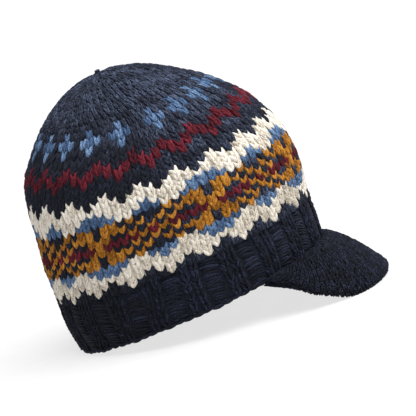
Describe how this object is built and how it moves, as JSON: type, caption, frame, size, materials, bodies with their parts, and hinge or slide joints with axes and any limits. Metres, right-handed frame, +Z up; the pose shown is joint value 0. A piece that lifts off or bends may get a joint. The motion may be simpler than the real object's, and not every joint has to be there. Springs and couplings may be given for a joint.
{
  "type": "visor beanie",
  "caption": "Chunky hand-knit beanie: a rounded patterned crown gathered at the top, a ribbed band round the rim and a padded knitted visor that droops at the front.",
  "frame": {"origin": "on the table under the middle of the hat as it rests on the back of its rim and the sides of its visor", "axes": "+X to the front, where the visor is; +Y to the wearer's left; +Z up"},
  "size_m": [0.251, 0.1812, 0.1996],
  "materials": {
    "crown_knit": "chunky stranded wool knit, navy with bands of cream, gold, blue and burgundy",
    "band_knit": "two-by-two ribbed wool knit, navy",
    "visor_knit": "padded stocking-stitch wool knit, navy"
  },
  "bodies": {
    "root": {"crown": "crown_knit", "band": "band_knit", "visor": "visor_knit"}
  },
  "joints": []
}
